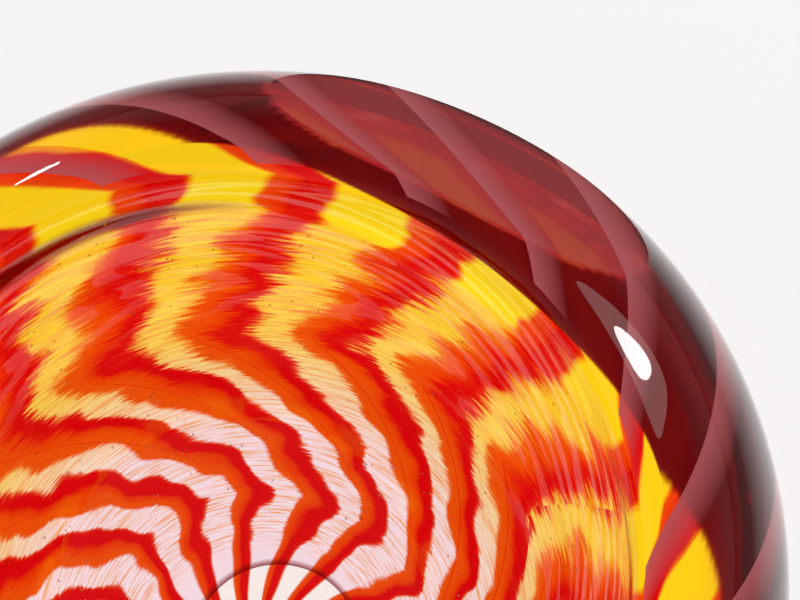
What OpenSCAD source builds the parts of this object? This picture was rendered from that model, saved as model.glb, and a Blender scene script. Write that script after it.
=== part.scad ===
// Thick cased glass bowl: clear lining, combed red and amber canes, clear casing, cranberry overlay.
// Origin at the centre of the foot, +Z up. The cavity stands off centre, and the thick side of the
// wall carries one polished facet.

/* [Outside] */
// Widest outer radius
outer_r = 110; // [100:1:130]
// Height of the lip above the foot
height = 106; // [96:1:120]
// Height of the widest ring
belly_z = 64; // [58:1:70]
// Radius of the ring where the shoulder levels off at the top
crest_r = 85; // [82:1:90]
// Radius of the ground foot disc
foot_r = 40; // [30:1:48]

/* [Cavity] */
// Inner radius at the lip
mouth_r = 80; // [74:1:84]
// Glass under the deepest point of the cavity
floor_t = 16; // [12:1:24]
// Radius of the rounding over the inner edge of the lip
lip_round = 7; // [4:1:9]
// Distance of the cavity's centre from the foot's centre
off_centre = 6; // [0:0.5:7]

/* [Facet] */
// Compass direction of the facet and of the thick side of the wall, from +X
facet_azimuth = 54; // [0:1:359]
// Upward tilt of the facet's normal
facet_tilt = 45; // [35:1:55]
// Depth of the cut below the shoulder
facet_depth = 8.6; // [5:0.1:9.5]

/* [Layers] */
// Thickness of the clear lining
lining_t = 3; // [2:0.1:4]
// Thickness of the flattened canes
cane_t = 1.2; // [0.8:0.1:2]
// Thickness of the cranberry overlay
overlay_t = 1.2; // [0.8:0.1:2]
// Room left between neighbouring layers and canes
gap = 0.4; // [0.3:0.05:0.6]

/* [Canes] */
// Part of each pair's width that the red cane takes
red_share = 0.48; // [0.3:0.01:0.6]
// Turn of the canes from the lip to the outer chevron ring
comb_out = 16; // [0:1:25]
// Turn back of the canes from the outer to the inner chevron ring
comb_back = 50; // [0:1:60]
// Turn of the canes from the inner chevron ring to their tails
comb_in = 20; // [0:1:40]

/* [Hidden] */
PAIRS = 16;
RED = [for (i = [1:PAIRS]) str("red_cane_", i < 10 ? "0" : "", i)];
AMBER = [for (i = [1:PAIRS]) str("amber_cane_", i < 10 ? "0" : "", i)];
$fn = 96;
pitch = 360 / PAIRS;
lip_z = height - lip_round;
// The lining ends this far below the rounding of the lip
lining_drop = 3;
lining_top = lip_z - lining_drop;
cane_inner = lining_t + gap;
cane_outer = cane_inner + cane_t;
casing_inner = cane_outer + gap;
overlay_gap = 0.3;
casing_inset = overlay_t + overlay_gap;
overlay_foot_z = 0.8;
// The overlay's blank reaches in to this radius before the mouth is cut out of it
overlay_reach = mouth_r - 2 * lip_round;
// Cutters reach this far past the top
clear = 5;
// Drop of the belly's ellipse that makes the casing's foot disc foot_r wide
belly_drop = casing_inset + belly_z / sqrt(1 - pow(foot_r / (outer_r - casing_inset), 2));
cavity_deep = lip_z - floor_t;
// Cavity radii, as parts of mouth_r, of the cane ends and of the two chevron rings
tail_part = 0.12;
inner_ring = 0.45;
outer_ring = 0.78;
head_part = 0.995;
// Straight steps along the curves
belly_steps = 18;
shoulder_steps = 14;
cavity_steps = 22;
flare_steps = 8;
cane_steps = 18;
// The shoulder's first point stands this angle above the widest ring, clear of the belly's last one
shoulder_start = 5;
// Distance from the foot's centre to the facet's plane
facet_d = cos(facet_tilt) * crest_r + sin(facet_tilt) * belly_z - facet_depth
    + norm([cos(facet_tilt) * (outer_r - crest_r), sin(facet_tilt) * (height - belly_z)]);

// Points of an ellipse from angle a to angle b
function arc(centre, semi, a, b, steps) =
    [for (i = [0:steps])
        let(t = a + (b - a) * i / steps)
        [centre[0] + semi[0] * cos(t), centre[1] + semi[1] * sin(t)]];

// Outside of the bowl, set in by a distance, from height z up to the level top
function outside(inset, z) =
    let(drop = belly_drop - inset)
    concat(
        arc([0, belly_z], [outer_r - inset, drop], -asin((belly_z - z) / drop), 0, belly_steps),
        arc([crest_r, belly_z], [outer_r - crest_r - inset, height - belly_z - inset], shoulder_start, 90,
            shoulder_steps));

// Radius of the cavity's wall at height z, set out into the glass by a distance
function cavity_r(out, z) =
    (mouth_r + out) * sqrt(1 - pow((lip_z - z) / (cavity_deep + out), 2));

// Cavity wall, set out into the glass by a distance, from the axis up to height z
function cavity_wall(out, z) =
    arc([0, lip_z], [mouth_r + out, cavity_deep + out], -90, -asin((lip_z - z) / (cavity_deep + out)),
        cavity_steps);

// Turn of the canes where the cavity's radius is this part of mouth_r
function comb(part) =
    lookup(part, [[tail_part, comb_out - comb_back + comb_in], [inner_ring, comb_out - comb_back],
        [outer_ring, comb_out], [1, 0]]);

module about_cavity() {
    rotate([0, 0, facet_azimuth + 180]) translate([off_centre, 0, 0]) rotate([0, 0, -facet_azimuth - 180])
        children();
}

// Space of the cavity above the lining's top, with the flare that rounds the lip
module mouth() {
    flare = arc([mouth_r + lip_round, lip_z], [lip_round, lip_round], 180, 90, flare_steps);
    about_cavity()
        rotate_extrude()
            polygon(concat([[0, lining_top], [cavity_r(0, lining_top), lining_top]], flare,
                [[mouth_r + lip_round, height + clear], [0, height + clear]]));
}

module facet_cutter() {
    size = 2 * outer_r;
    rotate([0, 0, facet_azimuth]) rotate([0, -facet_tilt, 0]) translate([facet_d, -size / 2, -size / 2])
        cube(size);
}

module inner_lining() {
    outer = cavity_wall(lining_t, lining_top);
    inner = cavity_wall(0, lining_top);
    color("white", 0.4)
        about_cavity()
            rotate_extrude()
                polygon(concat(outer, [for (i = [len(inner) - 1:-1:0]) inner[i]]));
}

module clear_casing() {
    color("mistyrose", 0.4)
        difference() {
            rotate_extrude()
                polygon(concat([[0, 0]], outside(casing_inset, 0), [[0, height - casing_inset]]));
            about_cavity()
                rotate_extrude()
                    polygon(concat(cavity_wall(casing_inner, lining_top + gap), [[0, lining_top + gap]]));
            mouth();
            facet_cutter();
        }
}

module cranberry_overlay() {
    outer = outside(0, overlay_foot_z);
    inner = outside(overlay_t, overlay_foot_z);
    color("crimson", 0.5)
        difference() {
            rotate_extrude()
                polygon(concat(outer, [[overlay_reach, height], [overlay_reach, height - overlay_t]],
                    [for (i = [len(inner) - 1:-1:0]) inner[i]]));
            mouth();
            facet_cutter();
        }
}

// One flat cane in the layer round the cavity, from its tail at the bottom up to the lip
module cane(start, width) {
    parts = [for (i = [0:cane_steps]) tail_part + (head_part - tail_part) * i / cane_steps];
    rings = [for (p = parts)
        let(turn = start + comb(p), trim = gap / 2 / (p * mouth_r) * 180 / PI)
        [for (corner = [[cane_inner, 0], [cane_inner, 1], [cane_outer, 1], [cane_outer, 0]])
            let(out = corner[0], a = turn + trim + (width - 2 * trim) * corner[1], r = (mouth_r + out) * p)
            [r * cos(a), r * sin(a), lip_z - (cavity_deep + out) * sqrt(1 - p * p)]]];
    points = [for (ring = rings) each ring];
    sides = [for (k = [0:cane_steps - 1], j = [0:3])
        let(a = 4 * k + j, b = 4 * k + (j + 1) % 4)
        each [[a, a + 4, b + 4], [a, b + 4, b]]];
    last = 4 * cane_steps;
    about_cavity()
        polyhedron(points, concat(sides, [[0, 1, 2, 3], [last + 3, last + 2, last + 1, last]]));
}

module red_cane(i) {
    color("red") cane(i * pitch, red_share * pitch);
}

module amber_cane(i) {
    color("gold") cane((i + red_share) * pitch, (1 - red_share) * pitch);
}

inner_lining();
clear_casing();
cranberry_overlay();
for (i = [0:PAIRS - 1]) {
    red_cane(i);
    amber_cane(i);
}
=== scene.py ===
"""Art glass bowl: one clear glass body, with combed red and amber canes and a cranberry overlay in it."""

import math
import bmesh
import bpy
import numpy as np
from mathutils import Matrix, Vector


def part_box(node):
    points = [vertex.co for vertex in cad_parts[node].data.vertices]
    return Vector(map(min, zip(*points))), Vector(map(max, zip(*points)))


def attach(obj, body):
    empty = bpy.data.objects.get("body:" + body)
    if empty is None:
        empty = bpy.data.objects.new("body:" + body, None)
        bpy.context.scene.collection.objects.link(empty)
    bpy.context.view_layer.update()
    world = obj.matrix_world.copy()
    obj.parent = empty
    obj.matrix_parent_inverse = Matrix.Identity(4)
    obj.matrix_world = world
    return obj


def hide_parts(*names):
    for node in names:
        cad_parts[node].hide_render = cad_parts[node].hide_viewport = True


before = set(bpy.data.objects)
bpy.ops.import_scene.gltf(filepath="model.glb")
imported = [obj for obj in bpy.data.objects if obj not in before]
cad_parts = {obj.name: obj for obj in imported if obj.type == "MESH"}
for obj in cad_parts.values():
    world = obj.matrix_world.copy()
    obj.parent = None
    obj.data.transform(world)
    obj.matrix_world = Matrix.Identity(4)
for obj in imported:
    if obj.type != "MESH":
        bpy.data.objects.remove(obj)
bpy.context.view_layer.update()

MM = 0.001

# The bowl's sizes, in metres. They repeat the driving dimensions of the CAD model.
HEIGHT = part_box("cranberry_overlay")[1][2]
OUTER_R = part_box("cranberry_overlay")[1][0]
BELLY_Z = 64 * MM
CREST_R = 85 * MM
FOOT_R = 40 * MM
MOUTH_R = 80 * MM
FLOOR_T = 16 * MM
LIP_ROUND = 7 * MM
CASING_INSET = 1.5 * MM
FACET_AZIMUTH = math.radians(54)
FACET_TILT = math.radians(45)
FACET_DEPTH = 8.6 * MM
OFF_CENTRE = -6 * MM * np.array([math.cos(FACET_AZIMUTH), math.sin(FACET_AZIMUTH)])
PAIRS = 16
RED_SHARE = 0.48

# Parts of a pair's width, and depths under the surface, that only the looks need.
RIBBON_SHARE = 0.34
RIBBON_DEPTH = 0.3 * MM
RIBBON_THICK = 0.4 * MM
OVERLAY_DEPTH = 1.0 * MM
OVERLAY_THICK = 0.8 * MM
CANE_DEPTH = 3.6 * MM
CANE_THICK = 0.5 * MM
GLASS_IOR = 1.5

LIP_Z = HEIGHT - LIP_ROUND
CAVITY_DEEP = LIP_Z - FLOOR_T
BELLY_DROP = CASING_INSET + BELLY_Z / math.sqrt(1 - (FOOT_R / (OUTER_R - CASING_INSET)) ** 2)

FACET_NORMAL = Vector((math.cos(FACET_TILT) * math.cos(FACET_AZIMUTH),
                       math.cos(FACET_TILT) * math.sin(FACET_AZIMUTH), math.sin(FACET_TILT)))
FACET_D = (math.cos(FACET_TILT) * CREST_R + math.sin(FACET_TILT) * BELLY_Z - FACET_DEPTH
           + math.hypot(math.cos(FACET_TILT) * (OUTER_R - CREST_R),
                        math.sin(FACET_TILT) * (HEIGHT - BELLY_Z)))

# The wall's section runs from 0 at the cavity's lowest point to 1 at the inner lip, 2 at the
# crest of the lip, 3 at the widest ring, 4 at the edge of the foot and 5 at the foot's centre.
INNER_LIP, CREST, WIDEST, FOOT, FOOT_CENTRE = 1, 2, 3, 4, 5
# Share of the cavity's offset that the crest of the lip takes.
CREST_SHARE = 0.5
QUARTER = math.pi / 2
FOOT_ANGLE = math.asin(BELLY_Z / BELLY_DROP)
# Steps round the body and the overlay.
AROUND = 288

# Turn of the canes, in degrees, along the section: two rings of chevrons, then swirls outside.
COMB = [(0.08, -14), (0.29, -34), (0.58, 16), (0.85, 4), (1.0, 0), (2.0, 10), (3.0, 48), (3.4, 66)]


def smooth(x):
    """Eases from 0 to 1."""
    x = np.clip(x, 0, 1)
    return x * x * (3 - 2 * x)


def section(t):
    """Radius, height and share of the cavity's offset at section positions t."""
    cavity = MOUTH_R * np.sin(t * QUARTER), LIP_Z - CAVITY_DEEP * np.cos(t * QUARTER)
    a = (t - INNER_LIP) * QUARTER
    lip = CREST_R - (CREST_R - MOUTH_R) * np.cos(a), LIP_Z + (HEIGHT - LIP_Z) * np.sin(a)
    b = (WIDEST - t) * QUARTER
    shoulder = CREST_R + (OUTER_R - CREST_R) * np.cos(b), BELLY_Z + (HEIGHT - BELLY_Z) * np.sin(b)
    c = (t - WIDEST) * FOOT_ANGLE
    belly = OUTER_R * np.cos(c), BELLY_Z - BELLY_DROP * np.sin(c)
    foot = OUTER_R * math.cos(FOOT_ANGLE) * (FOOT_CENTRE - t), np.zeros_like(t)
    where = [t < INNER_LIP, t < CREST, t < WIDEST, t < FOOT]
    radius = np.select(where, [cavity[0], lip[0], shoulder[0], belly[0]], foot[0])
    height = np.select(where, [cavity[1], lip[1], shoulder[1], belly[1]], foot[1])
    shares = [np.ones_like(t), 1 - (1 - CREST_SHARE) * smooth(t - INNER_LIP),
              CREST_SHARE * smooth(WIDEST - t)]
    share = np.select(where[:3], shares, 0)
    return radius, height, share


def skin(t, turn):
    """Points of the bowl's surface at section positions t and directions turn, in radians."""
    radius, height, share = section(t)
    x = share * OFF_CENTRE[0] + radius * np.cos(turn)
    y = share * OFF_CENTRE[1] + radius * np.sin(turn)
    return np.stack([x, y, height], -1)


def under(t, turn, depth):
    """Points at a depth below the bowl's surface, the facet included. depth has a last axis of one."""
    step = 1e-4
    along = skin(t + step, turn) - skin(t - step, turn)
    around = np.stack([-np.sin(turn), np.cos(turn), np.zeros_like(turn)], -1)
    inward = np.cross(around, along)
    inward /= np.linalg.norm(inward, axis=-1)[..., None]
    points = skin(t, turn) + inward * depth
    over = np.maximum(points @ np.array(FACET_NORMAL) - FACET_D + depth[..., 0], 0)
    return points - over[..., None] * np.array(FACET_NORMAL)


def dip(turn, centre, reach):
    """1 at one direction, easing to 0 at an angle of reach from it. All in degrees but turn."""
    off = np.abs((np.degrees(turn) - centre + 180) % 360 - 180)
    return smooth(1 - off / reach)


def overlay_edge(turn):
    """Section position where the dark overlay begins. It comes furthest in over the lip by the facet."""
    outermost = 2.3
    return outermost - (outermost - INNER_LIP) * dip(turn, centre=46, reach=65)


def streak_edge(turn):
    """Section position where the streaked wall gives way to the smooth lip."""
    return 0.92 - 0.10 * dip(turn, centre=48, reach=62)


def section_length(t):
    """Length along the section from the cavity's lowest point to each position t, in metres."""
    samples = 401
    steps = np.linspace(0, FOOT, samples)
    radius, height, _ = section(steps)
    lengths = np.concatenate([[0], np.cumsum(np.hypot(np.diff(radius), np.diff(height)))])
    return np.interp(t, steps, lengths)


def new_mesh(name, points, faces):
    mesh = bpy.data.meshes.new(name)
    mesh.from_pydata([tuple(p) for p in points], [], faces)
    return mesh


def new_object(name, data):
    """Object with this mesh, lamp or camera, in the scene."""
    thing = bpy.data.objects.new(name, data)
    bpy.context.scene.collection.objects.link(thing)
    return thing


def new_piece(mesh, material, nodes):
    """Smooth piece of the bowl that stands for these CAD nodes."""
    mesh.shade_smooth()
    mesh.materials.append(material)
    piece = new_object(mesh.name, mesh)
    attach(piece, "root")
    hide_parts(*nodes)
    return piece


def grid_faces(rows, columns, closed, start=0, flip=False):
    """Quads of a grid of points, row by row from start. A closed grid joins its last column to its first."""
    faces = []
    for r in range(rows - 1):
        for c in range(columns if closed else columns - 1):
            d = (c + 1) % columns
            quad = [r * columns + c, r * columns + d, (r + 1) * columns + d, (r + 1) * columns + c]
            faces.append([start + i for i in (quad[::-1] if flip else quad)])
    return faces


def cut_facet(piece):
    """Cuts a piece off flat at the facet's plane and closes the cut with one face."""
    bm = bmesh.new()
    bm.from_mesh(piece.data)
    everything = bm.verts[:] + bm.edges[:] + bm.faces[:]
    cut = bmesh.ops.bisect_plane(bm, geom=everything, plane_co=FACET_NORMAL * FACET_D,
                                 plane_no=FACET_NORMAL, clear_outer=True, dist=1e-7)
    edges = [g for g in cut["geom_cut"] if isinstance(g, bmesh.types.BMEdge)]
    for face in bmesh.ops.edgeloop_fill(bm, edges=edges)["faces"]:
        face.smooth = False
    for edge in edges:
        edge.smooth = False
    bmesh.ops.recalc_face_normals(bm, faces=bm.faces[:])
    bm.to_mesh(piece.data)
    bm.free()


class Nodes:
    """Adds nodes to a node tree. An input is a socket, a plain number or a colour."""

    def __init__(self, tree):
        self.tree = tree
        tree.nodes.clear()

    def add(self, kind, inputs, output=0, **settings):
        node = self.tree.nodes.new("ShaderNode" + kind)
        for key, value in settings.items():
            setattr(node, key, value)
        for key, value in inputs.items():
            if isinstance(value, bpy.types.NodeSocket):
                self.tree.links.new(value, node.inputs[key])
            else:
                node.inputs[key].default_value = value
        return node.outputs[output]

    def math(self, operation, a, b=0.0):
        return self.add("Math", {0: a, 1: b}, operation=operation)

    def attribute(self, name):
        return self.add("Attribute", {}, output=1, attribute_name=name)

    def axis(self, vector, index):
        """One component of a vector, x being 0."""
        return self.add("SeparateXYZ", {0: vector}, output=index)

    def between(self, value, low, high, at_low=0.0, at_high=1.0):
        """at_low up to low, at_high from high, and straight between them."""
        return self.add("MapRange", {"Value": value, "From Min": low, "From Max": high,
                                     "To Min": at_low, "To Max": at_high})

    def mix(self, share, a, b):
        return self.add("Mix", {"Factor": share, 6: a, 7: b}, output=2, data_type="RGBA")

    def noise(self, vector, scale, detail):
        """Smooth noise, about 0.3 to 0.7."""
        return self.add("TexNoise", {"Vector": vector, "Scale": scale, "Detail": detail})

    def push(self, vector, detail):
        """Smooth noise, about -0.2 to 0.2."""
        return self.math("SUBTRACT", self.noise(vector, 1.0, detail), 0.5)

    def ramp(self, value, stops):
        """Colour ramp through (position, colour) stops."""
        node = self.tree.nodes.new("ShaderNodeValToRGB")
        elements = node.color_ramp.elements
        while len(elements) < len(stops):
            elements.new(1.0)
        for element, (position, colour) in zip(elements, stops):
            element.position = position
            element.color = colour
        self.tree.links.new(value, node.inputs[0])
        return node.outputs[0]

    def output(self, surface, kind="OutputMaterial"):
        node = self.tree.nodes.new("ShaderNode" + kind)
        self.tree.links.new(surface, node.inputs["Surface"])


def new_material(name):
    material = bpy.data.materials.new(name)
    material.use_nodes = True
    return material, Nodes(material.node_tree)


def colour(red, green, blue):
    return red, green, blue, 1.0


def glass_material(name, ior):
    material, nodes = new_material(name)
    nodes.output(nodes.add("BsdfPrincipled", {"Base Color": colour(1, 1, 1), "Roughness": 0.0, "IOR": ior,
                                              "Transmission Weight": 1.0}))
    return material


# Stops of the colour ramps. The first two run across a pair of canes, from the start of its red one.
RED_STOPS = [(0.0, colour(0.86, 0.10, 0.004)), (0.06, colour(0.74, 0.004, 0.004)),
             (0.24, colour(0.72, 0.002, 0.004)), (0.31, colour(0.84, 0.045, 0.002)),
             (0.46, colour(0.88, 0.10, 0.003))]
REDNESS_STOPS = [(0.0, colour(0.5, 0.5, 0.5)), (0.03, colour(1, 1, 1)), (0.44, colour(1, 1, 1)),
                 (0.50, colour(0, 0, 0)), (0.97, colour(0, 0, 0)), (1.0, colour(0.5, 0.5, 0.5))]
# This one runs along the section, from the pale glass at the bottom to the deep amber at the lip.
AMBER_STOPS = [(0.40, colour(1, 0.93, 0.90)), (0.50, colour(1, 0.82, 0.38)), (0.58, colour(1, 0.78, 0.10)),
               (0.75, colour(1, 0.78, 0.020)), (1.0, colour(1, 0.77, 0.010))]
SALMON = colour(0.95, 0.42, 0.10)


def combed_place(nodes, pair, t, combed, streak):
    """Place across a pair, from 0 to 1, with its edges pushed about by fine streaks and slow waves."""
    fray = nodes.math("MULTIPLY", combed, nodes.between(t, 0.45, 0.62, at_low=0.18, at_high=0.85))
    fine = nodes.math("MULTIPLY", nodes.push(streak, detail=2.0), fray)
    broad = nodes.add("VectorMath", {0: streak, 1: (0.5, 0.025, 1.0)}, operation="MULTIPLY")
    wave = nodes.between(combed, 0.0, 1.0, at_low=0.2, at_high=0.7)
    slow = nodes.math("MULTIPLY", nodes.push(broad, detail=1.0), wave)
    return nodes.math("FRACT", nodes.math("ADD", pair, nodes.math("ADD", fine, slow)))


def crowded_place(nodes, across, t):
    """The same place, with more room for the red where the chevrons turn."""
    middle = 0.52
    red_end = 0.42
    away = nodes.math("ABSOLUTE", nodes.math("SUBTRACT", t, middle))
    crowd = nodes.between(away, 0.34, 0.0, at_high=0.24)
    moved = nodes.math("MAXIMUM", nodes.math("SUBTRACT", across, crowd), red_end)
    return nodes.math("MINIMUM", across, moved)


def cane_material(name):
    """Red and amber glass, combed into each other, as light that passes through one cane.

    The "pattern" attribute holds the place across the pairs, counted in pairs, the section position,
    and how combed the glass is there. The "streak" attribute holds the place on the surface, drawn out
    around the bowl. The "lip" attribute says where the wall pipes light up from the table, which a
    glow stands for.
    """
    lip_glow = 1.12
    lip_share = 0.6
    material, nodes = new_material(name)
    pattern = nodes.attribute("pattern")
    streak = nodes.attribute("streak")
    t = nodes.axis(pattern, 1)
    combed = nodes.axis(pattern, 2)
    across = combed_place(nodes, nodes.axis(pattern, 0), t, combed, streak)
    red = nodes.ramp(across, RED_STOPS)
    redness = nodes.ramp(crowded_place(nodes, across, t), REDNESS_STOPS)
    hairs = nodes.between(nodes.noise(streak, 0.6, 3.0), 0.48, 0.66)
    amber = nodes.mix(nodes.math("MULTIPLY", combed, hairs), nodes.ramp(t, AMBER_STOPS), SALMON)
    both = nodes.mix(redness, amber, red)
    # Light crosses both faces of a cane, so each takes the square root.
    face = nodes.add("Gamma", {"Color": both, "Gamma": 0.5})
    clear = nodes.add("BsdfTransparent", {"Color": face})
    glow = nodes.add("Emission", {"Color": both, "Strength": lip_glow})
    share = nodes.math("MULTIPLY", nodes.axis(nodes.attribute("lip"), 0), lip_share)
    nodes.output(nodes.add("MixShader", {0: share, 1: clear, 2: glow}))
    return material


def ribbon_material():
    """Milky pink glass where the red canes are drawn out thin over the shoulder, with one soft edge. Its
    milkiness is a painted glow.
    """
    most_milk_glow = 0.60
    material, nodes = new_material("milky_glowing_ribbon")
    across = nodes.math("FRACT", nodes.axis(nodes.attribute("pattern"), 0))
    tint = nodes.add("BsdfTransparent", {"Color": colour(0.97, 0.72, 0.74)})
    # Painted glow: the milky part of a ribbon gives off light of its own, which stands for light scattered
    # in the thin glass.
    milk_glow = nodes.add("Emission", {"Color": colour(0.42, 0.10, 0.11)})
    body = nodes.between(across, 0.0, RIBBON_SHARE, at_high=most_milk_glow)
    nodes.output(nodes.add("MixShader", {0: body, 1: tint, 2: milk_glow}))
    return material


def overlay_material():
    """Cranberry glass.

    The "dense" attribute says how dense its colour is and, in y, where the facet cuts down to it and
    it scatters more light. A glow stands for the scattered light.
    """
    material, nodes = new_material("cranberry")
    attribute = nodes.attribute("dense")
    dense = nodes.axis(attribute, 0)
    pale = colour(0.99, 0.915, 0.97)
    deep = colour(0.34, 0.045, 0.065)
    tint = nodes.add("BsdfTransparent", {"Color": nodes.mix(dense, pale, deep)})
    inside = colour(0.036, 0.0004, 0.0012)
    at_facet = colour(0.19, 0.016, 0.018)
    scattered = nodes.mix(nodes.axis(attribute, 1), inside, at_facet)
    glow = nodes.add("Emission", {"Color": scattered, "Strength": dense})
    nodes.output(nodes.add("AddShader", {0: tint, 1: glow}))
    return material


def build_body():
    turns = np.arange(AROUND) * 2 * math.pi / AROUND
    parts = [(0, INNER_LIP, 48), (INNER_LIP, CREST, 16), (CREST, WIDEST, 32), (WIDEST, FOOT, 48)]
    t = np.concatenate([np.linspace(a, b, steps + 1)[1:] for a, b, steps in parts])
    points = skin(*np.meshgrid(t, turns, indexing="ij")).reshape(-1, 3)
    bottom = skin(np.zeros(1), np.zeros(1))
    faces = grid_faces(len(t), AROUND, True)
    faces += [[len(points), (i + 1) % AROUND, i] for i in range(AROUND)]
    faces.append([len(points) - AROUND + i for i in range(AROUND)])
    mesh = new_mesh("bowl_body", np.vstack([points, bottom]), faces)
    body = new_piece(mesh, glass_material("clear_glass", GLASS_IOR),
                     ["inner_lining", "clear_casing"])
    foot = body.data.polygons[-1]
    foot.use_smooth = False
    rim = set(foot.edge_keys)
    for edge in body.data.edges:
        edge.use_edge_sharp = edge.key in rim
    cut_facet(body)


def shell(t, turns, near, far, closed):
    """Points and faces of a closed thin shell between two depths, over a grid of t and turns."""
    rows, columns = turns.shape
    points = np.vstack([under(t, turns, depth).reshape(-1, 3) for depth in (near, far)])
    half = rows * columns
    faces = grid_faces(rows, columns, closed, 0, True) + grid_faces(rows, columns, closed, half)
    first = list(range(columns))
    last = [(rows - 1) * columns + c for c in first]
    if closed:
        faces += join_loop(first, half) + join_loop(last[::-1], half)
    else:
        left = [r * columns for r in range(1, rows - 1)]
        right = [i + columns - 1 for i in left]
        faces += join_loop(first + right + last[::-1] + left[::-1], half)
    return points, faces


def join_loop(loop, shift):
    """Quads that join a loop of points to the same loop further on in the list."""
    return [[a, b, b + shift, a + shift] for a, b in zip(loop, loop[1:] + loop[:1])]


def comb(t):
    """Turn of the canes at section positions t, in radians."""
    return np.radians(np.interp(t, *zip(*COMB)))


def build_cane(name, start, width, t, material, nodes, depth=CANE_DEPTH, thick=CANE_THICK):
    """One flat cane under the surface. start and width are in pairs."""
    pitch = 2 * math.pi / PAIRS
    columns = 9
    # Neighbours stay this part of a cane's width apart, on each side.
    seam = 0.0005
    pairs = start + width * np.tile(np.linspace(seam, 1 - seam, columns), (len(t), 1))
    grid_t = np.repeat(t[:, None], columns, 1)
    turns = pairs * pitch + comb(grid_t)
    # The canes rise towards the crest, where the lip curves too tightly for them to lie deep.
    rise = 0.47 * smooth(1 - np.abs(grid_t - 1.95) / 0.4)
    sunk = (depth * (1 - rise))[..., None]
    points, faces = shell(grid_t, turns, sunk, sunk + thick, False)
    piece = new_piece(new_mesh(name, points, faces), material, nodes)

    lip = smooth((grid_t - streak_edge(turns)) / 0.04)
    comb_start = 0.18
    combed = smooth((grid_t - comb_start) / 0.05) * (1 - lip)
    glowing = lip * (1 - smooth((grid_t - overlay_edge(turns)) / 0.15))
    # Streaks per radian round the bowl and per millimetre along the section: they lie round the bowl.
    streaks_round = 7
    streaks_along = 4.5
    length = section_length(grid_t) / MM
    store(piece, "pattern", np.stack([pairs, grid_t, combed], -1))
    store(piece, "streak", np.stack([turns * streaks_round, length * streaks_along, 0 * pairs], -1))
    store(piece, "lip", np.stack([glowing] * 3, -1))


def store(piece, name, values):
    """Keeps one vector for each point of both sides of a shell."""
    both = np.vstack([values.reshape(-1, 3)] * 2)
    layer = piece.data.attributes.new(name, "FLOAT_VECTOR", "POINT")
    layer.data.foreach_set("vector", both.ravel())


def build_canes():
    red = cane_material("red_cane")
    amber = cane_material("amber_cane")
    # The ribbons' milky part is a painted glow.
    milky_glowing = ribbon_material()
    tail, head = 0.075, 2.38
    inside = np.concatenate([np.linspace(tail, INNER_LIP, 90), np.linspace(INNER_LIP, head, 40)[1:]])
    ribbon_start, ribbon_end = 1.5, 3.1
    outside = np.linspace(ribbon_start, ribbon_end, 60)
    for i in range(PAIRS):
        number = "%02d" % (i + 1)
        build_cane("red_" + number, i, RED_SHARE, inside, red, ["red_cane_" + number])
        build_cane("amber_" + number, i + RED_SHARE, 1 - RED_SHARE, inside, amber,
                   ["amber_cane_" + number])
        build_cane("ribbon_" + number, i, RIBBON_SHARE, outside, milky_glowing,
                   ["red_cane_" + number], depth=RIBBON_DEPTH, thick=RIBBON_THICK)


def build_overlay():
    """Overlay from the inner lip round the outside and in under the foot, where it ends in a dark ring."""
    first, last = 1.02, 4.56
    thin_edge = 0.05 * MM
    turns = np.arange(AROUND) * 2 * math.pi / AROUND
    t = np.concatenate([np.linspace(first, WIDEST, 90), np.linspace(WIDEST, FOOT - 0.01, 50)[1:],
                        np.linspace(FOOT + 0.04, last, 16)])
    grid_t, grid_turn = np.meshgrid(t, turns, indexing="ij")
    near = np.full(grid_t.shape + (1,), OVERLAY_DEPTH)
    thick = thin_edge + (OVERLAY_THICK - thin_edge) * smooth((grid_t[..., None] - INNER_LIP) / 0.5)
    points, faces = shell(grid_t, grid_turn, near, near + thick, True)
    overlay = new_piece(new_mesh("overlay", points, faces), overlay_material(),
                        ["cranberry_overlay"])

    # The colour is deep over the shoulder, a little paler at the facet, and pale on the belly.
    pale_below, deep_above = 53 * MM, 61 * MM
    height = skin(grid_t, grid_turn)[..., 2]
    deep = smooth((grid_t - overlay_edge(grid_turn)) / 0.04)
    deep = deep * smooth((height - pale_below) / (deep_above - pale_below))
    outer_side = points[:grid_t.size].reshape(grid_t.shape + (3,))
    rounding = 0.001 * MM
    behind_facet = FACET_D - OVERLAY_DEPTH - outer_side @ np.array(FACET_NORMAL)
    at_facet = np.where(behind_facet < rounding, 1.0, 0.0)
    ring = 0.7 * smooth((grid_t - 4.53) / 0.01)
    dense = np.maximum(deep * (1 - 0.22 * at_facet), ring)
    store(overlay, "dense", np.stack([dense, at_facet, at_facet], -1))


def build_seeds():
    """Small air bubbles in the clear lining, and one larger one near the widest ring."""
    rng = np.random.default_rng(7)
    count = 700
    # The power puts fewer seeds low in the cavity, where a step along the section goes round less glass.
    t = rng.uniform(0.2, 0.93, count) ** 0.8
    turns = rng.uniform(0, 2 * math.pi, count)
    depth = rng.uniform(1.2, 2.8, count)[:, None] * MM
    centres = under(t, turns, depth)
    radii = rng.uniform(0.12, 0.34, count) * MM
    bm = bmesh.new()
    for centre, radius in zip(centres, radii):
        place = Matrix.Translation(Vector(centre)) @ Matrix.Diagonal((radius, radius, radius, 1))
        bmesh.ops.create_icosphere(bm, subdivisions=2, radius=1.0, matrix=place)
    bubble_t, bubble_turn, bubble_depth = 2.54, -0.02, 4.0 * MM
    bubble = under(np.array([bubble_t]), np.array([bubble_turn]), np.array([[bubble_depth]]))[0]
    bubble_radii = 1.3 * MM, 1.9 * MM, 1.3 * MM
    place = Matrix.Translation(Vector(bubble)) @ Matrix.Diagonal((*bubble_radii, 1))
    bmesh.ops.create_icosphere(bm, subdivisions=4, radius=1.0, matrix=place)
    mesh = bpy.data.meshes.new("seeds")
    bm.to_mesh(mesh)
    bm.free()
    new_piece(mesh, glass_material("air", 1 / GLASS_IOR), ["inner_lining"])


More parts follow.
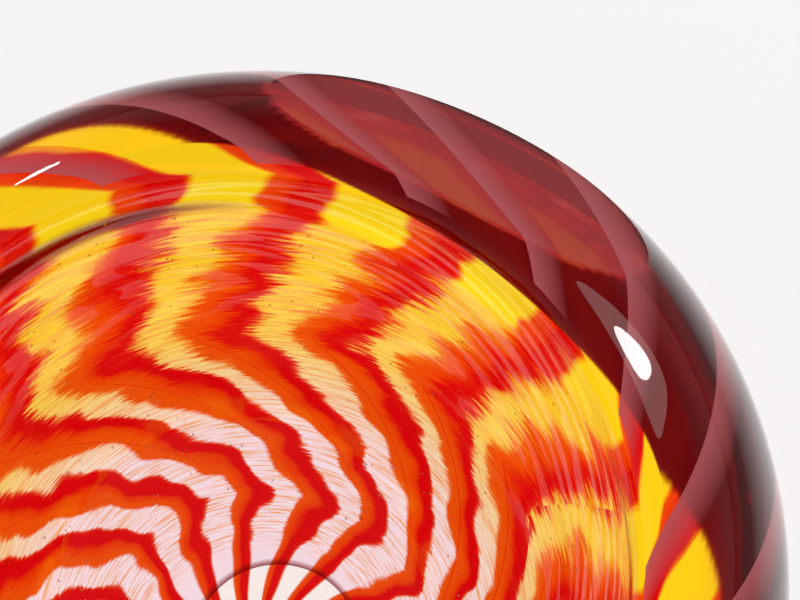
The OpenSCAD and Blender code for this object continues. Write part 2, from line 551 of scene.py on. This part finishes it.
def build_floor():
    """Pale light table: to the camera it is even, but its glow falls off away from the bowl."""
    near, far = 0.18, 0.34
    glow_near, glow_far, glow_seen = 0.92, 0.077, 0.79
    size = 6.0
    below = 0.2 * MM
    material, nodes = new_material("studio_floor")
    place = nodes.add("NewGeometry", {}, output=0)
    away = nodes.add("VectorMath", {0: place}, output=1, operation="LENGTH")
    camera = nodes.add("LightPath", {}, output=0)
    level = nodes.between(away, near, far, at_low=glow_near, at_high=glow_far)
    seen = nodes.math("MULTIPLY", camera, glow_seen)
    unseen = nodes.math("MULTIPLY", nodes.math("SUBTRACT", 1.0, camera), level)
    glow = nodes.add("Emission", {"Color": colour(1, 1, 0.99), "Strength": nodes.math("ADD", seen, unseen)})
    paper = nodes.add("BsdfDiffuse", {"Color": colour(0.40, 0.40, 0.40)})
    nodes.output(nodes.add("AddShader", {0: glow, 1: paper}))
    corners = [(-size, -size, 0), (size, -size, 0), (size, size, 0), (-size, size, 0)]
    mesh = new_mesh("floor", corners, [[0, 1, 2, 3]])
    mesh.materials.append(material)
    floor = new_object("floor", mesh)
    floor.location.z = -below


def build_room():
    """Pale to the camera, but dim to everything else and darker overhead, so that the glass stays rich."""
    low_level, high_level = 0.30, 0.07
    world = bpy.data.worlds.new("studio")
    bpy.context.scene.world = world
    world.use_nodes = True
    nodes = Nodes(world.node_tree)
    camera = nodes.add("LightPath", {}, output=0)
    seen = nodes.add("Background", {"Color": colour(0.94, 0.94, 0.93)})
    upward = nodes.axis(nodes.add("TexCoord", {}, output=0), 2)
    strength = nodes.between(upward, 0.1, 0.6, at_low=low_level, at_high=high_level)
    room = nodes.add("Background", {"Color": colour(1, 0.97, 0.96), "Strength": strength})
    nodes.output(nodes.add("MixShader", {0: camera, 1: room, 2: seen}), "OutputWorld")


def area_light(name, place, along, size, power):
    """Oval light that faces the bowl, with its long side along a direction."""
    lamp = bpy.data.lights.new(name, "AREA")
    lamp.shape = "ELLIPSE"
    lamp.size, lamp.size_y = size
    lamp.energy = power
    light = new_object(name, lamp)
    back = Vector(place).normalized()
    side = back.cross(Vector(along)).normalized()
    light.matrix_world = Matrix((side.cross(back), side, back)).transposed().to_4x4()
    light.location = place


def build_lights():
    """A long narrow light draws the streak on the lip by the facet, and a wide faint one its halo."""
    along = 0.63, 0.16, -0.46
    area_light("lip_core", (0.56, 0.52, 1.07), along, size=(0.55, 0.09), power=2.6)
    area_light("lip_halo", (0.58, 0.53, 1.08), along, size=(0.95, 0.24), power=0.9)
    area_light("far", (-0.31, 0.95, 1.0), (1, 0, 0), size=(0.08, 0.10), power=0.6)


def build_camera():
    """Close-up of the far right of the rim from high in front, turned a little about its own axis."""
    elevation = math.radians(70.8)
    roll = math.radians(-7.3)
    aim = Vector((36.9 * MM, 57.5 * MM, 63.4 * MM))
    away = 729.5 * MM
    back = Vector((0, -math.cos(elevation), math.sin(elevation)))
    level = Vector((1, 0, 0))
    upright = Vector((0, math.sin(elevation), math.cos(elevation)))
    right = level * math.cos(roll) + upright * math.sin(roll)
    up = upright * math.cos(roll) - level * math.sin(roll)
    camera = new_object("camera", bpy.data.cameras.new("camera"))
    camera.data.sensor_width = 36
    camera.data.lens = 154
    camera.data.clip_start = 0.01
    camera.matrix_world = Matrix((right, up, back)).transposed().to_4x4()
    camera.location = aim + back * away
    bpy.context.scene.camera = camera


def set_render():
    """Plain colours, and enough bounces for light to cross every layer of the wall."""
    bounces = 24
    scene = bpy.context.scene
    scene.view_settings.view_transform = "Standard"
    scene.cycles.max_bounces = bounces
    scene.cycles.transmission_bounces = bounces
    scene.cycles.transparent_max_bounces = 64
    scene.cycles.caustics_refractive = True


build_camera()
build_floor()
build_room()
build_lights()
build_body()
build_canes()
build_overlay()
build_seeds()
set_render()
